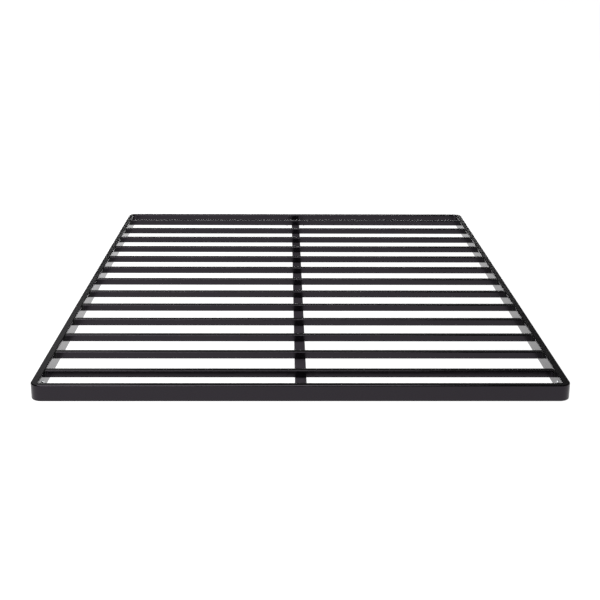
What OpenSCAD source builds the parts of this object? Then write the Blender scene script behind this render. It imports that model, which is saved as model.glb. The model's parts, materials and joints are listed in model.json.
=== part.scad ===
// Low metal bed base, a full-size mattress foundation.
// Two bent end rails and two straight side rails make a rounded rectangle of
// tube. Cross slats are pegged to the side rails by plastic end plugs and rest
// on a centre beam. +X is to the right seen from the foot end, +Y runs from the
// foot to the head, +Z is up, and the origin is on the floor at the middle.

/* [Frame] */
// Outer width of the frame, side to side
frame_w = 1359; // [760:1:1930]
// Outer length of the frame, foot to head
frame_l = 1892; // [1800:1:2032]
// Height of the frame, floor to top
frame_h = 43; // [38:1:50]

/* [Rails] */
// Thickness of the rail tube, outer face to inner face
rail_t = 20; // [18:1:26]
// Wall thickness of the rail tube
rail_wall = 1.2; // [1:0.1:1.6]
// Radius on the long edges of the rail tube
rail_edge_r = 3; // [2:0.1:4]
// Inner radius of the frame corners, seen from above
corner_inner_r = 9; // [3:1:10]
// Length of an end rail's return leg, from the end face
return_l = 60; // [56:1:65]
// Gap of the seam between an end rail and a side rail
seam_gap = 0.8; // [0.2:0.1:1.5]

/* [Slats] */
// Number of slats
slat_count = 13; // [9:1:14]
// Distance from a frame end to the middle of the nearest slat
slat_inset = 112; // [106:1:130]
// Width of a slat, along the bed
slat_w = 19; // [16:1:24]
// Height of a slat
slat_h = 19; // [14:1:20]
// Wall thickness of a slat tube
slat_wall = 1; // [0.8:0.1:1.4]
// Radius on the long edges of a slat
slat_edge_r = 1.8; // [1.2:0.1:3]

/* [Slat plugs] */
// Thickness of a plug's collar, between the slat and the side rail
collar_t = 3; // [2:0.5:5]
// Length of a plug's spigot inside the slat
spigot_l = 24; // [16:1:40]
// Wall thickness of the spigot
spigot_wall = 2.4; // [2:0.1:3]
// Diameter of the pegs that hold a plug to the rail
peg_d = 5; // [4:0.5:6]

/* [Centre beam] */
// Width of the centre beam
beam_w = 30; // [25:1:50]
// Wall thickness of the centre beam
beam_wall = 1.2; // [1:0.1:2]
// Radius on the long edges of the centre beam
beam_edge_r = 3; // [2:0.1:4]
// Width of a beam bracket
bracket_w = 70; // [66:1:90]
// Sheet thickness of a beam bracket
bracket_t = 2; // [1.5:0.1:3]
// Depth of a bracket's folded side flanges
flange_l = 18; // [10:1:25]

/* [Fasteners] */
// Thread diameter of the corner bolts
bolt_d = 6; // [5:1:8]
// Distance from the rail seam to a corner bolt
bolt_offset = 13; // [10:1:14]
// Shank diameter of the bracket screws
screw_d = 4.2; // [3.5:0.1:5]
// Clearance between pieces that slide into each other
fit_gap = 0.3; // [0.2:0.05:0.4]

/* [Hidden] */
$fn = 48;
// Inside of the frame
rail_x = frame_w / 2 - rail_t / 2;
inner_x = frame_w / 2 - rail_t;
inner_y = frame_l / 2 - rail_t;
corner_r = corner_inner_r + rail_t;
// Slats
slat_pitch = (frame_l - 2 * slat_inset) / (slat_count - 1);
slat_z = frame_h - slat_h / 2;
slat_l = 2 * (inner_x - collar_t);
// Slat plugs
peg_pitch = 10;
peg_l = 5;
peg_gap = 0.4;
// Corner joints
insert_wall = 2;
insert_gap = 0.4;
insert_edge_r = rail_edge_r - rail_wall;
insert_start = corner_r + 3;
insert_end = slat_inset - 12;
bolt_y = frame_l / 2 - return_l - bolt_offset;
bolt_z = frame_h / 2;
bolt_gap = 0.6;
bolt_l = 13;
bolt_head_d = 2.2 * bolt_d;
bolt_head_top_d = 0.65 * bolt_head_d;
bolt_head_h = 0.5 * bolt_d;
socket_d = 0.7 * bolt_d;
socket_h = 0.6 * bolt_head_h;
nut_flats = 1.65 * bolt_d;
nut_h = 5;
thread_gap = 0.1;
// Beam and brackets
beam_h = frame_h - slat_h;
beam_end_gap = 0.5;
beam_l = 2 * (inner_y - bracket_t - beam_end_gap);
stub_l = 30;
stub_wall = 1.6;
stub_edge_r = beam_edge_r - beam_wall;
stub_root = 0.5;
plate_bottom = 1;
plate_top = frame_h - 3;
flange_h = 22;
screw_x = 26;
screw_z = frame_h - 11;
screw_gap = 0.4;
screw_l = 12;
screw_head_d = 8.4;
screw_head_top_d = 0.6 * screw_head_d;
screw_head_h = 2.6;
cross_w = 3.6;
cross_t = 0.9;
cross_depth = 1.5;
// Smallest inner radius of a tube, and overcut of a hole
least_r = 0.5;
cut = 1;

coat = "#1b1b1d";
plastic = "#101011";
zinc = "#b9babd";

function two_digits(n) = n < 10 ? str("0", n) : str(n);
slat_ids = [for (i = [1:slat_count]) two_digits(i)];

// Distance of slat number n from the middle of the frame, foot end first
function slat_y(n) = slat_inset - frame_l / 2 + (n - 1) * slat_pitch;

// ---- shared shapes ----

module rounded_rect(w, h, r) {
  square([w - 2 * r, h], center = true);
  square([w, h - 2 * r], center = true);
  for (x = [-1, 1]) {
    for (y = [-1, 1]) {
      translate([x * (w / 2 - r), y * (h / 2 - r)]) circle(r = r);
    }
  }
}

module tube_section(w, h, r, wall) {
  difference() {
    rounded_rect(w, h, r);
    rounded_rect(w - 2 * wall, h - 2 * wall, max(r - wall, least_r));
  }
}

// Straight tube along Y, w wide and h high, with its middle at the origin
module tube_y(w, h, r, wall, l) {
  rotate([90, 0, 0]) linear_extrude(height = l, center = true) tube_section(w, h, r, wall);
}

// Straight tube along X, w deep and h high, with its middle at the origin
module tube_x(w, h, r, wall, l) {
  rotate([0, 0, 90]) tube_y(w, h, r, wall, l);
}

// Round bar along X that starts at the origin
module bar_x(d, l) {
  rotate([0, 90, 0]) cylinder(d = d, h = l);
}

// Round bar along Y that starts at the origin
module bar_y(d, l) {
  rotate([-90, 0, 0]) cylinder(d = d, h = l);
}

// Puts a child made for the right and the head at one of the four corners
module at_corner(side, end) {
  mirror([side < 0 ? 1 : 0, 0, 0]) mirror([0, end < 0 ? 1 : 0, 0]) children();
}

// ---- rails ----

module rail_bend() {
  translate([frame_w / 2 - corner_r, frame_l / 2 - corner_r, frame_h / 2])
    rotate_extrude(angle = 90)
      translate([corner_r - rail_t / 2, 0]) tube_section(rail_t, frame_h, rail_edge_r, rail_wall);
}

module rail_return() {
  leg = return_l - corner_r;
  translate([rail_x, frame_l / 2 - corner_r - leg / 2, frame_h / 2])
    tube_y(rail_t, frame_h, rail_edge_r, rail_wall, leg);
}

module end_rail(end) {
  color(coat) mirror([0, end < 0 ? 1 : 0, 0]) difference() {
    union() {
      translate([0, frame_l / 2 - rail_t / 2, frame_h / 2])
        tube_x(rail_t, frame_h, rail_edge_r, rail_wall, frame_w - 2 * corner_r);
      for (side = [-1, 1]) {
        at_corner(side, 1) rail_bend();
        at_corner(side, 1) rail_return();
      }
    }
    for (x = [-screw_x, screw_x]) {
      translate([x, inner_y - cut, screw_z]) bar_y(screw_d + 2 * thread_gap, rail_wall + 2 * cut);
    }
  }
}

module side_rail(side) {
  l = frame_l - 2 * (return_l + seam_gap);
  color(coat) at_corner(side, 1) difference() {
    translate([rail_x, 0, frame_h / 2]) tube_y(rail_t, frame_h, rail_edge_r, rail_wall, l);
    for (end = [-1, 1]) {
      translate([inner_x - cut, end * bolt_y, bolt_z]) bar_x(bolt_d + bolt_gap, rail_wall + 2 * cut);
    }
    for (n = [1:slat_count]) {
      for (dy = [-peg_pitch / 2, peg_pitch / 2]) {
        translate([inner_x - cut, slat_y(n) + dy, slat_z])
          bar_x(peg_d + peg_gap, rail_wall + 2 * cut);
      }
    }
  }
}

// ---- corner joints ----

// Sleeve inside the seam: welded in the return leg, bolted to the side rail
module corner_insert(side, end) {
  w = rail_t - 2 * rail_wall - 2 * insert_gap;
  h = frame_h - 2 * rail_wall - 2 * insert_gap;
  l = insert_end - insert_start;
  color(zinc) at_corner(side, end) difference() {
    translate([rail_x, frame_l / 2 - insert_start - l / 2, frame_h / 2])
      tube_y(w, h, insert_edge_r, insert_wall, l);
    translate([rail_x - w / 2 - cut, bolt_y, bolt_z])
      bar_x(bolt_d + bolt_gap, insert_wall + 2 * cut);
  }
}

module corner_bolt() {
  difference() {
    union() {
      translate([inner_x, bolt_y, bolt_z]) bar_x(bolt_d, bolt_l);
      translate([inner_x, bolt_y, bolt_z])
        rotate([0, -90, 0]) cylinder(d1 = bolt_head_d, d2 = bolt_head_top_d, h = bolt_head_h);
    }
    translate([inner_x - bolt_head_h - cut, bolt_y, bolt_z])
      rotate([0, 90, 0]) cylinder(d = socket_d, h = socket_h + cut, $fn = 6);
  }
}

module corner_bolts() {
  color(zinc) for (side = [-1, 1]) {
    for (end = [-1, 1]) {
      at_corner(side, end) corner_bolt();
    }
  }
}

// Weld nut on the inside of the sleeve's inner wall
module corner_nut() {
  translate([inner_x + rail_wall + insert_gap + insert_wall, bolt_y, bolt_z])
    rotate([0, 90, 0]) difference() {
      cylinder(d = nut_flats / cos(30), h = nut_h, $fn = 6);
      translate([0, 0, -cut]) cylinder(d = bolt_d + 2 * thread_gap, h = nut_h + 2 * cut);
    }
}

module corner_nuts() {
  color(zinc) for (side = [-1, 1]) {
    for (end = [-1, 1]) {
      at_corner(side, end) corner_nut();
    }
  }
}

// ---- centre beam ----

module centre_beam() {
  color(coat) translate([0, 0, beam_h / 2])
    tube_y(beam_w, beam_h, beam_edge_r, beam_wall, beam_l);
}

// Pressed bracket: a plate on the end rail, two folded flanges and a stub in the beam
module beam_bracket(end) {
  stub_w = beam_w - 2 * beam_wall - 2 * fit_gap;
  stub_h = beam_h - 2 * beam_wall - 2 * fit_gap;
  color(coat) mirror([0, end < 0 ? 1 : 0, 0]) difference() {
    union() {
      translate([-bracket_w / 2, inner_y - bracket_t, plate_bottom])
        cube([bracket_w, bracket_t, plate_top - plate_bottom]);
      for (x = [-bracket_w / 2, bracket_w / 2 - bracket_t]) {
        translate([x, inner_y - bracket_t - flange_l, plate_bottom])
          cube([bracket_t, flange_l + bracket_t, flange_h]);
      }
      translate([0, inner_y - bracket_t - (stub_l - stub_root) / 2, beam_h / 2])
        tube_y(stub_w, stub_h, stub_edge_r, stub_wall, stub_l + stub_root);
    }
    for (x = [-screw_x, screw_x]) {
      translate([x, inner_y - bracket_t - cut, screw_z])
        bar_y(screw_d + screw_gap, bracket_t + 2 * cut);
    }
  }
}

module bracket_screw() {
  face_y = inner_y - bracket_t;
  difference() {
    union() {
      translate([0, face_y, screw_z]) bar_y(screw_d, screw_l);
      translate([0, face_y, screw_z])
        rotate([90, 0, 0])
          cylinder(d1 = screw_head_d, d2 = screw_head_top_d, h = screw_head_h);
    }
    for (turn = [0, 90]) {
      translate([0, face_y - screw_head_h, screw_z])
        rotate([0, turn, 0]) cube([cross_w, 2 * cross_depth, cross_t], center = true);
    }
  }
}

module bracket_screws() {
  color(coat) for (x = [-screw_x, screw_x]) {
    for (end = [-1, 1]) {
      mirror([0, end < 0 ? 1 : 0, 0]) translate([x, 0, 0]) bracket_screw();
    }
  }
}

// ---- slats and their plugs ----

module slat(n) {
  color(coat) translate([0, slat_y(n), slat_z])
    tube_x(slat_w, slat_h, slat_edge_r, slat_wall, slat_l);
}

// End plug: a collar flush with the slat, a hollow spigot in the slat and two pegs in the rail
module slat_plug(n, side) {
  spigot_w = slat_w - 2 * (slat_wall + fit_gap);
  spigot_h = slat_h - 2 * (slat_wall + fit_gap);
  color(plastic) at_corner(side, 1) translate([inner_x, slat_y(n), slat_z]) {
    translate([-collar_t, 0, 0]) rotate([90, 0, 90])
      linear_extrude(height = collar_t) rounded_rect(slat_w, slat_h, slat_edge_r);
    translate([-collar_t - (spigot_l - cut) / 2, 0, 0])
      tube_x(spigot_w, spigot_h, least_r, spigot_wall, spigot_l + cut);
    for (dy = [-peg_pitch / 2, peg_pitch / 2]) {
      translate([-cut, dy, 0]) bar_x(peg_d, peg_l + cut);
    }
  }
}

end_rail(-1);  // end_rail_foot
end_rail(1);  // end_rail_head
side_rail(-1);  // side_rail_left
side_rail(1);  // side_rail_right
corner_insert(-1, -1);  // corner_insert_foot_left
corner_insert(1, -1);  // corner_insert_foot_right
corner_insert(-1, 1);  // corner_insert_head_left
corner_insert(1, 1);  // corner_insert_head_right
corner_bolts();
corner_nuts();
centre_beam();
beam_bracket(-1);  // beam_bracket_foot
beam_bracket(1);  // beam_bracket_head
bracket_screws();
for (n = [1:slat_count]) {
  slat(n);
  slat_plug(n, -1);
  slat_plug(n, 1);
}
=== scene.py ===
import json
import math

import bmesh
import bpy
from mathutils import Matrix, Vector


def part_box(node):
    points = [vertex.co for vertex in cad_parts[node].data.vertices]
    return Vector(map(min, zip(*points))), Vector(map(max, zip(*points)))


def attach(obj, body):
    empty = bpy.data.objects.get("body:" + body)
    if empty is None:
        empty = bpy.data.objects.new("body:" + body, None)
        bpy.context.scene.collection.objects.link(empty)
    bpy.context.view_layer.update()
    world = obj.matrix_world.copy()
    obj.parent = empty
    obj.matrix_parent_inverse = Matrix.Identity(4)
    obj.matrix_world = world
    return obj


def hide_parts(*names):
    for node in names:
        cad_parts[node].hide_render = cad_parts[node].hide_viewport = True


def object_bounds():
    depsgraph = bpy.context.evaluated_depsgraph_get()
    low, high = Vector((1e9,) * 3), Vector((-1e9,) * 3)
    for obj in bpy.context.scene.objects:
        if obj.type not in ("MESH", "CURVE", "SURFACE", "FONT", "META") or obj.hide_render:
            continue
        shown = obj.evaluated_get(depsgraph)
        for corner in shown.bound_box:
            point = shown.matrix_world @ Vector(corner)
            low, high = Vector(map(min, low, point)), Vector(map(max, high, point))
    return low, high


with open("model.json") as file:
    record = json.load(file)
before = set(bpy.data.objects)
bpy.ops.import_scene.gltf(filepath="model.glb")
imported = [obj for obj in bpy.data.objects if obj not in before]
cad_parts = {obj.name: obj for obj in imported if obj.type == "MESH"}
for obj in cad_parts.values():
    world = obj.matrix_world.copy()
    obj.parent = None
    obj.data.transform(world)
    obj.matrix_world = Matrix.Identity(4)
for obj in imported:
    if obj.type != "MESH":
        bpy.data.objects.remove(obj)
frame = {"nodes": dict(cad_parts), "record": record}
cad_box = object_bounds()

MM = 0.001
NODES = frame["nodes"]
SIDES = (-1, 1)
ENDS = (-1, 1)

# Most of a noise texture's values lie between these two.
NOISE_LOW = 0.3
NOISE_HIGH = 0.7

# Turned heads start this far off the face they sit on.
SEAT_GAP = 0.02 * MM


# ---- materials ----

def new_material(name):
    """A material with a fresh tree: returns it, its nodes, its links and its shader."""
    mat = bpy.data.materials.new(name)
    mat.use_nodes = True
    nodes = mat.node_tree.nodes
    links = mat.node_tree.links
    shader = nodes["Principled BSDF"]
    return mat, nodes, links, shader


def object_space(nodes):
    """The object coordinates of a material."""
    return nodes.new("ShaderNodeTexCoord").outputs["Object"]


def noise(nodes, links, place, scale, detail):
    """A noise texture at the given place, with scale in cycles per metre."""
    tex = nodes.new("ShaderNodeTexNoise")
    tex.inputs["Scale"].default_value = scale
    tex.inputs["Detail"].default_value = detail
    links.new(place, tex.inputs["Vector"])
    return tex.outputs["Fac"]


def remap(nodes, links, value, low, high):
    """A noise value spread over low to high."""
    span = nodes.new("ShaderNodeMapRange")
    span.inputs["From Min"].default_value = NOISE_LOW
    span.inputs["From Max"].default_value = NOISE_HIGH
    span.inputs["To Min"].default_value = low
    span.inputs["To Max"].default_value = high
    links.new(value, span.inputs["Value"])
    return span.outputs["Result"]


def two_tone(nodes, links, value, dark, light):
    """A colour that runs from dark to light with a noise value."""
    ramp = nodes.new("ShaderNodeValToRGB")
    ramp.color_ramp.elements[0].position = NOISE_LOW
    ramp.color_ramp.elements[0].color = (*dark, 1)
    ramp.color_ramp.elements[1].position = NOISE_HIGH
    ramp.color_ramp.elements[1].color = (*light, 1)
    links.new(value, ramp.inputs["Fac"])
    return ramp.outputs["Color"]


def bump(nodes, links, shader, height, strength, distance):
    """Adds a bump of the given depth in metres to a shader."""
    node = nodes.new("ShaderNodeBump")
    node.inputs["Strength"].default_value = strength
    node.inputs["Distance"].default_value = distance
    links.new(height, node.inputs["Height"])
    links.new(node.outputs["Normal"], shader.inputs["Normal"])


def powder_coat(name, shade, gloss_low, gloss_high):
    """Black powder coat of a given grey: fine orange peel, faint cloudiness."""
    mat, nodes, links, shader = new_material(name)
    place = object_space(nodes)
    cloud = noise(nodes, links, place, scale=14, detail=3)
    peel = noise(nodes, links, place, scale=420, detail=3)
    dark = (0.80 * shade, 0.70 * shade, 0.85 * shade)
    light = (1.20 * shade, 1.05 * shade, 1.25 * shade)
    links.new(two_tone(nodes, links, cloud, dark, light), shader.inputs["Base Color"])
    links.new(remap(nodes, links, cloud, gloss_low, gloss_high), shader.inputs["Roughness"])
    shader.inputs["IOR"].default_value = 1.42
    shader.inputs["Specular Tint"].default_value = (0.95, 0.84, 1.0, 1)
    bump(nodes, links, shader, peel, strength=0.16, distance=0.2 * MM)
    return mat


def plug_plastic():
    """Black moulded plastic with a fine spark texture."""
    mat, nodes, links, shader = new_material("plug_plastic_black")
    place = object_space(nodes)
    cloud = noise(nodes, links, place, scale=60, detail=2)
    grain = noise(nodes, links, place, scale=2200, detail=2)
    dark = (0.0045, 0.0045, 0.0047)
    light = (0.0075, 0.0075, 0.0078)
    links.new(two_tone(nodes, links, cloud, dark, light), shader.inputs["Base Color"])
    links.new(remap(nodes, links, grain, low=0.42, high=0.56), shader.inputs["Roughness"])
    shader.inputs["IOR"].default_value = 1.46
    bump(nodes, links, shader, grain, strength=0.25, distance=0.1 * MM)
    return mat


def zinc_steel():
    """Bright zinc plating with a faint spangle."""
    mat, nodes, links, shader = new_material("zinc_steel")
    spangle = noise(nodes, links, object_space(nodes), scale=320, detail=3)
    dark = (0.56, 0.57, 0.58)
    light = (0.74, 0.75, 0.77)
    links.new(two_tone(nodes, links, spangle, dark, light), shader.inputs["Base Color"])
    links.new(remap(nodes, links, spangle, low=0.22, high=0.38), shader.inputs["Roughness"])
    shader.inputs["Metallic"].default_value = 1.0
    bump(nodes, links, shader, spangle, strength=0.08, distance=0.1 * MM)
    return mat


MATERIALS = {
    "powder_coat": powder_coat("powder_coat_black", shade=0.002, gloss_low=0.15, gloss_high=0.20),
    "plug_plastic": plug_plastic(),
    "zinc_steel": zinc_steel(),
}
# The beam's coat: the satin roughness is real, but its lighter grey (0.03 against 0.002) is painted light,
# standing in for the light that falls on the beam's top.
BEAM_COAT_PAINTED_LIGHT = powder_coat("powder_coat_satin_painted_light", shade=0.03, gloss_low=0.42, gloss_high=0.50)


def dress_cad_nodes():
    """Gives each CAD node the material of its slot, and the beam a satin coat whose lighter grey is painted
    light for the light on the beam's top.
    """
    for entry in frame["record"]["subparts"]:
        mesh = NODES[entry["node"]].data
        material = MATERIALS[entry["material_slot"]]
        if entry["node"] == "centre_beam":
            material = BEAM_COAT_PAINTED_LIGHT
        for index in range(len(mesh.materials)):
            mesh.materials[index] = material


# ---- shape helpers ----

def to_object(name, bm, slot):
    """Turns a bmesh into a piece that rides on the frame and has its slot's material."""
    mesh = bpy.data.meshes.new(name)
    bmesh.ops.recalc_face_normals(bm, faces=bm.faces)
    bm.to_mesh(mesh)
    bm.free()
    mesh.materials.append(MATERIALS[slot])
    obj = bpy.data.objects.new(name, mesh)
    bpy.context.scene.collection.objects.link(obj)
    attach(obj, "root")
    return obj


def shade_smooth(obj):
    """Shades every face of a piece smooth."""
    for face in obj.data.polygons:
        face.use_smooth = True


def soften(obj, width, segments=2, angle=35):
    """Rounds the edges of a piece that are sharper than the angle, and shades it smooth."""
    shade_smooth(obj)
    bevel = obj.modifiers.new("edges", "BEVEL")
    bevel.width = width
    bevel.segments = segments
    bevel.limit_method = "ANGLE"
    bevel.angle_limit = math.radians(angle)
    bevel.harden_normals = True


def circle_angles(segments):
    """Evenly spaced angles round a full turn, in radians."""
    return [2 * math.pi * i / segments for i in range(segments)]


def join_rings(bm, a, b):
    """Joins two closed rings of vertices with quads."""
    count = len(a)
    for i in range(count):
        j = (i + 1) % count
        bm.faces.new((a[i], a[j], b[j], b[i]))


def add_prism(bm, outline, low, high, place):
    """Extrudes an outline of (u, v) points from low to high; place(u, v, w) gives the point."""
    bottom, top = ([bm.verts.new(place(u, v, w)) for u, v in outline] for w in (low, high))
    bm.faces.new(bottom)
    bm.faces.new(top)
    join_rings(bm, bottom, top)


def arc(centre, radius, start, stop, steps):
    """Points on an arc, with angles in degrees."""
    points = []
    for i in range(steps + 1):
        t = math.radians(start + (stop - start) * i / steps)
        points.append((centre[0] + radius * math.cos(t), centre[1] + radius * math.sin(t)))
    return points


def plate_outline(half, low, high, radius):
    """A rounded rectangle, symmetric about u = 0."""
    right = half - radius
    bottom = low + radius
    top = high - radius
    corners = [(right, bottom), (right, top), (-right, top), (-right, bottom)]
    points = []
    for number, corner in enumerate(corners):
        start = 90 * number - 90
        points += arc(corner, radius, start, start + 90, steps=4)
    return points


def lathe_rings(bm, profile, segments, place):
    """Rings of vertices for a (radius, height) profile, joined by quads."""
    rings = []
    for radius, height in profile:
        ring = []
        for t in circle_angles(segments):
            ring.append(bm.verts.new(place(radius * math.cos(t), radius * math.sin(t), height)))
        rings.append(ring)
    for a, b in zip(rings, rings[1:]):
        join_rings(bm, a, b)
    return rings


def add_lathe(bm, profile, segments, place):
    """A closed turned solid."""
    rings = lathe_rings(bm, profile, segments, place)
    bm.faces.new(rings[0])
    bm.faces.new(rings[-1])


# ---- slat plugs ----

SLAT_COUNT = 13


def ribbed_outline(half, radius):
    """Cross section of the spigot: a rounded square with two crush ribs on each side."""
    rib_height = 0.25 * MM
    rib_half = 0.8 * MM
    rib_offset = 0.45 * half
    side = []
    for centre in (-rib_offset, rib_offset):
        side += [(half, centre - rib_half), (half + rib_height, centre - rib_half / 2)]
        side += [(half + rib_height, centre + rib_half / 2), (half, centre + rib_half)]
    side += arc((half - radius, half - radius), radius, 0, 90, steps=3)
    points = []
    for quarter in range(4):
        turn = quarter * math.pi / 2
        for u, v in side:
            across = u * math.cos(turn) - v * math.sin(turn)
            up = u * math.sin(turn) + v * math.cos(turn)
            points.append((across, up))
    return points


def slat_plug(node, slat_node, side):
    """A moulded end plug: collar, ribbed spigot and two pegs with tapered tips."""
    collar_corner = 1.8 * MM
    spigot_inset = 1.3 * MM
    spigot_corner = 1.0 * MM
    peg_radius = 2.5 * MM
    peg_offset = 5.0 * MM
    peg_root = 0.5 * MM
    taper_start = 0.7
    tip_share = 0.72

    low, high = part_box(node)
    slat_low, slat_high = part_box(slat_node)
    slat_end = slat_high.x if side > 0 else slat_low.x
    inner = low.x if side > 0 else high.x
    tip = high.x if side > 0 else low.x
    face = math.copysign(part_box("side_rail_right")[0].x, side)
    middle = (low + high) / 2
    half = (high.y - low.y) / 2
    reach = abs(tip - face)

    def place(u, v, w):
        return Vector((w, middle.y + u, middle.z + v))

    bm = bmesh.new()
    add_prism(bm, plate_outline(half, -half, half, collar_corner), face, slat_end, place)
    add_prism(bm, ribbed_outline(half - spigot_inset, spigot_corner), slat_end, inner, place)
    for offset in (-peg_offset, peg_offset):

        def peg_place(u, v, w):
            return place(offset + u, v, face + math.copysign(w, side))

        peg = [(peg_radius, -peg_root), (peg_radius, taper_start * reach), (tip_share * peg_radius, reach)]
        add_lathe(bm, peg, segments=20, place=peg_place)
    obj = to_object(node + "_moulded", bm, "plug_plastic")
    soften(obj, width=0.3 * MM)
    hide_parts(node)


def add_slat_plugs():
    """One plug at each end of each slat."""
    for number in range(1, SLAT_COUNT + 1):
        for word, side in (("left", -1), ("right", 1)):
            slat_plug(f"slat_plug_{word}_{number:02d}", f"slat_{number:02d}", side)


# ---- bolts and screws ----

def hex_radius(t, size):
    """Distance from the middle of a hexagon to its side in the direction t."""
    turn = t % (math.pi / 3) - math.pi / 6
    return size / 2 / math.cos(turn)


def cross_radius(t, size):
    """Distance from the middle of a cross recess to its side in the direction t."""
    turn = abs(t % (math.pi / 2) - math.pi / 4)
    arm = 0.13 * size
    smallest = 0.001
    return min(size / 2, arm / max(math.sin(math.pi / 4 - turn), smallest))


def dome_profile(radius, height, shares):
    """The (radius, height) profile of a head, from shares of its full radius and height."""
    return [(radius, SEAT_GAP)] + [(a * radius, b * height) for a, b in shares]


def socket_head(bm, dome, drive, size, floor, place):
    """A turned head whose top has a recess of the given outline and floor height."""
    segments = 48
    rings = lathe_rings(bm, dome, segments, place)
    bm.faces.new(rings[0])
    top = dome[-1][1]
    walls = [rings[-1]]
    for height in (top, floor):
        ring = []
        for t in circle_angles(segments):
            r = drive(t, size)
            ring.append(bm.verts.new(place(r * math.cos(t), r * math.sin(t), height)))
        walls.append(ring)
    for a, b in zip(walls, walls[1:]):
        join_rings(bm, a, b)
    bm.faces.new(walls[-1])


def add_corner_bolts():
    """Wide furniture bolt heads on the side rails' inner faces, with their shanks."""
    head_height = 3.0 * MM
    socket_size = 4.0 * MM
    socket_floor = 0.35 * head_height
    shank_radius = 3.0 * MM
    shank_length = 13 * MM
    shank_gap = 0.1 * MM
    shares = [(1.0, 0.45), (0.96, 0.66), (0.86, 0.86), (0.70, 0.97), (0.5, 1.0)]

    low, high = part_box("corner_bolts")
    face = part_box("side_rail_right")[0].x
    radius = (high.z - low.z) / 2
    bolt_y = high.y - radius
    middle = (low.z + high.z) / 2
    dome = dome_profile(radius, head_height, shares)
    shank = [(shank_radius, -shank_length), (shank_radius, -shank_gap)]
    bm = bmesh.new()
    for side in SIDES:
        for end in ENDS:

            def place(u, v, w):
                return Vector((side * (face - w), end * bolt_y + u, middle + v))

            socket_head(bm, dome, hex_radius, socket_size, socket_floor, place)
            add_lathe(bm, shank, segments=24, place=place)
    obj = to_object("corner_bolts_domed", bm, "zinc_steel")
    soften(obj, width=0.12 * MM, angle=30)
    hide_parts("corner_bolts")


def add_bracket_screws():
    """Pan-head screws with a cross recess on the bracket plates."""
    sheet = 2.0 * MM
    head_height = 2.6 * MM
    cross_size = 4.2 * MM
    cross_floor = 0.45 * head_height
    thread_radius = 2.1 * MM
    tip_radius = 0.6 * MM
    tip_depth = 12 * MM
    taper_depth = 9.5 * MM
    thread_gap = 0.1 * MM
    shares = [(1.0, 0.3), (0.95, 0.58), (0.83, 0.82), (0.66, 0.95), (0.54, 1.0)]

    low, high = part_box("bracket_screws")
    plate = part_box("beam_bracket_head")[1].y - sheet
    radius = (high.z - low.z) / 2
    screw_x = high.x - radius
    middle = (low.z + high.z) / 2
    dome = dome_profile(radius, head_height, shares)
    shank = [(tip_radius, -tip_depth), (thread_radius, -taper_depth), (thread_radius, -thread_gap)]
    bm = bmesh.new()
    for x in (-screw_x, screw_x):
        for end in ENDS:

            def place(u, v, w):
                return Vector((x + u, end * (plate - w), middle + v))

            socket_head(bm, dome, cross_radius, cross_size, cross_floor, place)
            add_lathe(bm, shank, segments=20, place=place)
    obj = to_object("bracket_screws_pan", bm, "powder_coat")
    soften(obj, width=0.08 * MM, angle=30)
    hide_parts("bracket_screws")


# ---- beam brackets ----

def bracket_sheet(end, wall, bottom, top, half, thick):
    """The folded sheet's middle surface: a plate on the end rail and a low flange at each side."""
    flange_height = 22 * MM
    flange_depth = 20 * MM
    bend = 3.0 * MM
    bend_steps = 6
    edge_row = 3.0 * MM
    top_row = 4.0 * MM
    tolerance = 1e-6

    shelf = bottom + flange_height
    side = half - thick / 2
    back = wall - thick / 2
    path = [(-side, wall - flange_depth)]
    path += arc((-side + bend, back - bend), bend, 180, 90, bend_steps)
    path += arc((side - bend, back - bend), bend, 90, 0, bend_steps)
    path += [(side, wall - flange_depth)]
    flat_column = bend_steps + 1
    levels = [bottom, bottom + edge_row, shelf - edge_row, shelf, top - top_row, top]
    bm = bmesh.new()
    grid = [[bm.verts.new(Vector((x, end * y, z))) for x, y in path] for z in levels]
    for row in range(len(levels) - 1):
        a, b = grid[row], grid[row + 1]
        for column in range(len(path) - 1):
            if levels[row + 1] <= shelf + tolerance or column == flat_column:
                bm.faces.new((a[column], a[column + 1], b[column + 1], b[column]))
    loose = [v for v in bm.verts if not v.link_faces]
    bmesh.ops.delete(bm, geom=loose, context="VERTS")
    return bm


def bead_points(loop, step):
    """Points along a closed loop about a step apart, each with its distance along the loop."""
    points = []
    total = 0.0
    for a, b in zip(loop, loop[1:] + loop[:1]):
        length = (b - a).length
        steps = max(1, round(length / step))
        for i in range(steps):
            points.append((a.lerp(b, i / steps), total + length * i / steps))
        total += length
    return points


def weld_bead(name, loop, radius):
    """A closed bead of overlapping ripples along a loop of points."""
    pitch = 2.2 * MM
    steps_per_ripple = 4
    ripple = 0.16
    sides = 10
    points = bead_points(loop, pitch / steps_per_ripple)
    count = len(points)
    bm = bmesh.new()
    rings = []
    for i, (point, run) in enumerate(points):
        ahead = points[(i + 1) % count][0]
        behind = points[i - 1][0]
        along = (ahead - behind).normalized()
        across = along.cross(Vector((0, 1, 0))).normalized()
        up = across.cross(along)
        swell = radius * (1 + ripple * abs(math.sin(math.pi * run / pitch)))
        ring = []
        for t in circle_angles(sides):
            ring.append(bm.verts.new(point + across * (swell * math.cos(t)) + up * (swell * math.sin(t))))
        rings.append(ring)
    for i in range(count):
        join_rings(bm, rings[i], rings[(i + 1) % count])
    shade_smooth(to_object(name, bm, "powder_coat"))


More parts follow.
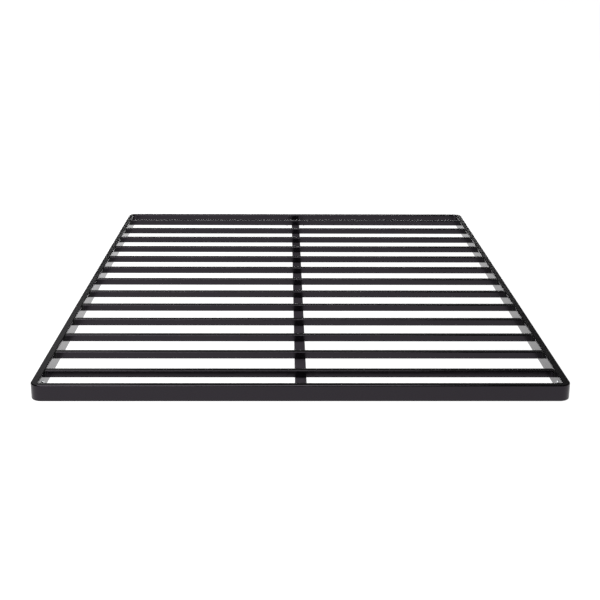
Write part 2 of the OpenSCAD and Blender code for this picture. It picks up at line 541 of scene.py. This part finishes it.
def beam_bracket(node, end):
    """Folded bracket with its stub in the beam, and the weld round the stub."""
    thick = 2.0 * MM
    beam_wall_gap = 1.5 * MM
    stub_length = 30 * MM
    stub_corner = 2.5 * MM
    weld_radius = 1.0 * MM
    weld_offset = 0.1 * MM

    low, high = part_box(node)
    beam_low, beam_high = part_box("centre_beam")
    wall = max(abs(low.y), abs(high.y))
    bm = bracket_sheet(end, wall, low.z, high.z, (high.x - low.x) / 2, thick)
    sheet = to_object(node + "_sheet", bm, "powder_coat")
    solid = sheet.modifiers.new("sheet", "SOLIDIFY")
    solid.thickness = thick
    solid.offset = 0.0
    solid.use_even_offset = True
    soften(sheet, width=0.35 * MM)
    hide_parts(node)

    stub_half = (beam_high.x - beam_low.x) / 2 - beam_wall_gap
    stub_low = beam_low.z + beam_wall_gap
    stub_high = beam_high.z - beam_wall_gap
    outline = plate_outline(stub_half, stub_low, stub_high, stub_corner)

    def place(u, v, w):
        return Vector((u, end * (wall - thick - w), v))

    bm = bmesh.new()
    add_prism(bm, outline, 0.0, stub_length, place)
    stub = to_object(node + "_stub", bm, "powder_coat")
    soften(stub, width=0.3 * MM, angle=50)
    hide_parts(node)
    weld_bead(node + "_weld", [place(u, v, weld_offset) for u, v in outline], weld_radius)


def add_beam_brackets():
    """A bracket at each end of the centre beam."""
    for word, end in (("foot", -1), ("head", 1)):
        beam_bracket("beam_bracket_" + word, end)


# ---- plug welds that hold the corner sleeves ----

def add_plug_welds():
    """Shallow ground-off weld spots on the return legs' inner faces."""
    from_end_face = 46 * MM
    spread = 8 * MM
    radius = 4.0 * MM
    sunk = 0.05 * MM
    dome = [(radius, -sunk), (0.9 * radius, 0.2 * MM), (0.6 * radius, 0.38 * MM), (0.3 * radius, 0.34 * MM)]

    rail_low, rail_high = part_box("side_rail_right")
    face = rail_low.x
    middle = (rail_low.z + rail_high.z) / 2
    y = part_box("end_rail_head")[1].y - from_end_face
    bm = bmesh.new()
    for side in SIDES:
        for end in ENDS:
            for lift in (-spread, spread):

                def place(u, v, w):
                    return Vector((side * (face - w), end * y + u, middle + lift + v))

                add_lathe(bm, dome, segments=24, place=place)
    shade_smooth(to_object("corner_plug_welds", bm, "powder_coat"))


# ---- studio ----

def glowing_white(name, grey):
    """A matt material of the given grey that glows white."""
    mat, nodes, links, shader = new_material(name)
    shader.inputs["Base Color"].default_value = (grey, grey, grey, 1)
    shader.inputs["Specular IOR Level"].default_value = 0.0
    shader.inputs["Emission Color"].default_value = (1, 1, 1, 1)
    return mat, nodes, links, shader


def add_floor():
    """A plain white glowing floor with painted light: its glow is a little brighter on the left, standing
    in for a key light from the left.
    """
    size = 60.0
    drop = 0.6 * MM
    left_x = -1.2
    right_x = 0.8
    # Painted light: the floor glows brighter on the left than on the right, as if lit by a key light from
    # the left.
    painted_light_left = 1.22
    painted_light_right = 1.0
    bpy.ops.mesh.primitive_plane_add(size=size, location=(0, 0, -drop))
    floor = bpy.context.object
    floor.name = "floor"
    mat, nodes, links, shader = glowing_white("floor_white", grey=0.08)
    shader.inputs["Roughness"].default_value = 0.9
    split = nodes.new("ShaderNodeSeparateXYZ")
    links.new(object_space(nodes), split.inputs["Vector"])
    glow = nodes.new("ShaderNodeMapRange")
    glow.inputs["From Min"].default_value = left_x
    glow.inputs["From Max"].default_value = right_x
    glow.inputs["To Min"].default_value = painted_light_left
    glow.inputs["To Max"].default_value = painted_light_right
    links.new(split.outputs["X"], glow.inputs["Value"])
    links.new(glow.outputs["Result"], shader.inputs["Emission Strength"])
    floor.data.materials.append(mat)


def add_backdrop():
    """A plain white wall all round, far off, that only the camera sees."""
    radius = 28.0
    height = 30.0
    bpy.ops.mesh.primitive_cylinder_add(
        vertices=96, radius=radius, depth=height, end_fill_type="NOTHING", location=(0, 0, height / 2)
    )
    wall = bpy.context.object
    wall.name = "backdrop"
    mat, nodes, links, shader = glowing_white("backdrop_white", grey=0)
    shader.inputs["Emission Strength"].default_value = 1.1
    mat.cycles.emission_sampling = "NONE"
    wall.data.materials.append(mat)
    wall.visible_diffuse = False
    wall.visible_glossy = False
    wall.visible_shadow = False


def area_light(name, place, aim, width, height, radiance):
    """A soft rectangular light of a given radiance that the camera doesn't see."""
    data = bpy.data.lights.new(name, "AREA")
    data.shape = "RECTANGLE"
    data.size = width
    data.size_y = height
    data.energy = radiance * math.pi * width * height
    light = bpy.data.objects.new(name, data)
    light.location = place
    light.rotation_euler = (Vector(aim) - Vector(place)).to_track_quat("-Z", "Y").to_euler()
    light.visible_camera = False
    bpy.context.scene.collection.objects.link(light)


def add_lights():
    """Softboxes overhead and behind the camera, a low strip and a dim panel behind the head."""
    area_light(
        "overhead", place=(-1.0, -0.5, 5.0), aim=(-1.0, -0.5, 0), width=4.0, height=5.0, radiance=4.5
    )
    area_light("key", place=(-1.6, -6.2, 2.4), aim=(0, -0.9, 0), width=2.0, height=1.8, radiance=5.0)
    area_light("rim", place=(0, 8.0, 0.38), aim=(0, 0, 0.38), width=7.0, height=0.6, radiance=8.0)
    area_light(
        "panel", place=(-2.6, 8.0, 3.4), aim=(-0.68, -0.5, 0), width=1.5, height=1.4, radiance=0.24
    )
    grey = 0.04
    world = bpy.data.worlds.new("studio")
    world.use_nodes = True
    world.node_tree.nodes["Background"].inputs["Color"].default_value = (grey, grey, grey, 1)
    bpy.context.scene.world = world


def add_camera():
    """Low over the foot end, looking down the bed with a long lens."""
    off_middle = -0.0385
    from_foot = 2.585
    eye_height = 1.080
    pitch = math.radians(17.46)
    yaw = math.radians(0.76)
    roll = math.radians(0.28)
    data = bpy.data.cameras.new("camera")
    data.lens = 66.8
    data.sensor_width = 36.0
    camera = bpy.data.objects.new("camera", data)
    place = Vector((off_middle, cad_box[0].y - from_foot, eye_height))
    turn = (
        Matrix.Rotation(-yaw, 4, "Z")
        @ Matrix.Rotation(math.pi / 2 - pitch, 4, "X")
        @ Matrix.Rotation(roll, 4, "Z")
    )
    camera.matrix_world = Matrix.Translation(place) @ turn
    bpy.context.scene.collection.objects.link(camera)
    bpy.context.scene.camera = camera


dress_cad_nodes()
add_slat_plugs()
add_corner_bolts()
add_bracket_screws()
add_beam_brackets()
add_plug_welds()
add_floor()
add_backdrop()
add_lights()
add_camera()
bpy.context.scene.view_settings.view_transform = "Standard"
